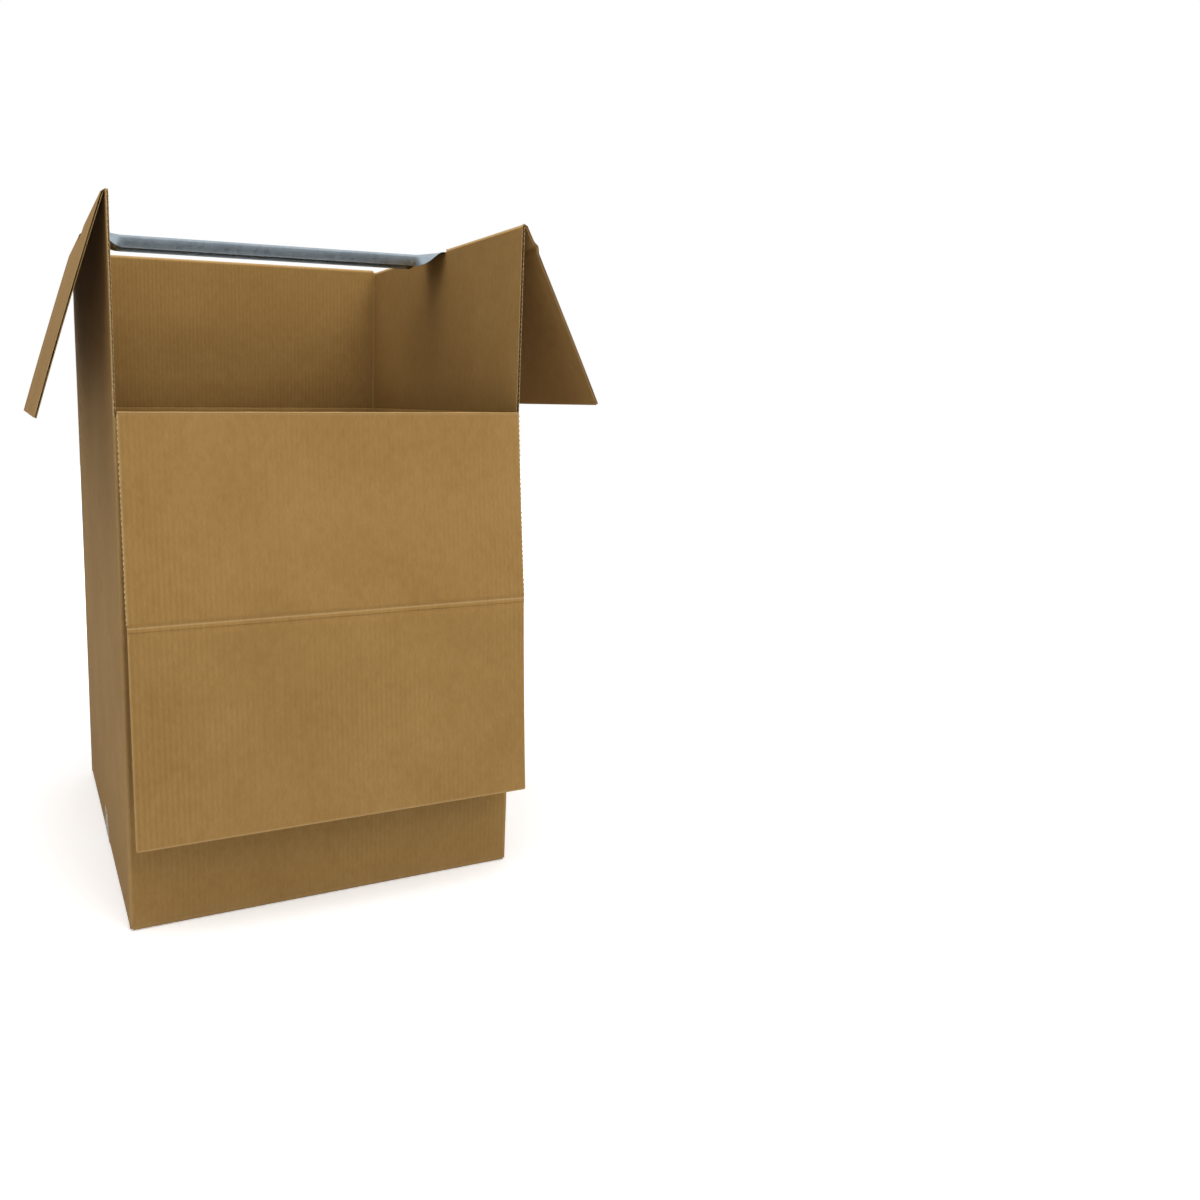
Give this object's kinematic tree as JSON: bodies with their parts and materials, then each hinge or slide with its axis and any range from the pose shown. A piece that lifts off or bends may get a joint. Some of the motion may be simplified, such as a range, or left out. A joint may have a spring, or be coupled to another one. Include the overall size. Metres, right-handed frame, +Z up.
{
  "type": "wardrobe moving box",
  "caption": "Tall square corrugated carton with folding top flaps, a drop-down front access panel and a steel hanger bar across the top.",
  "frame": {"origin": "centre of the carton's underside, on the bottom seam", "axes": "+X to the carton's right and along the hanger bar, -Y out of the front access opening, +Z up"},
  "size_m": [0.8536, 0.7395, 1.0204],
  "materials": {
    "kraft_board": "uncoated kraft liner over single-wall flutes, vertical washboard lines, dull",
    "galvanised_sheet": "galvanised sheet steel, semi-bright, with faint drawing lines and hemmed edges",
    "packing_tape": "clear packing tape, glossy, showing the board through it"
  },
  "bodies": {
    "carton": {"carton_body": "kraft_board", "bottom_tape": "packing_tape", "hanger_bar": "galvanised_sheet"},
    "left_flap": {"left_flap": "kraft_board"},
    "right_flap": {"right_flap": "kraft_board"},
    "back_flap": {"back_flap": "kraft_board"},
    "drop_panel": {"drop_panel": "kraft_board"},
    "front_flap": {"front_flap": "kraft_board"}
  },
  "joints": [
    {"name": "left_flap_crease", "type": "hinge", "parent": "carton", "child": "left_flap", "pos_m": [-0.305, 0, 1.016], "axis": [0, 1, 0], "range_deg": [-14, 252]},
    {"name": "right_flap_crease", "type": "hinge", "parent": "carton", "child": "right_flap", "pos_m": [0.305, 0, 1.016], "axis": [0, -1, 0], "range_deg": [-24, 242]},
    {"name": "back_flap_crease", "type": "hinge", "parent": "carton", "child": "back_flap", "pos_m": [0, 0.305, 1.0205], "axis": [1, 0, 0], "range_deg": [-8, 258]},
    {"name": "drop_panel_fold", "type": "hinge", "parent": "carton", "child": "drop_panel", "pos_m": [0, -0.305, 0.7355], "axis": [-1, 0, 0], "range_deg": [-4, 173]},
    {"name": "front_flap_crease", "type": "hinge", "parent": "drop_panel", "child": "front_flap", "pos_m": [0, -0.33973, 0.45262], "axis": [-1, 0, 0], "range_deg": [-2, 92.5]}
  ]
}
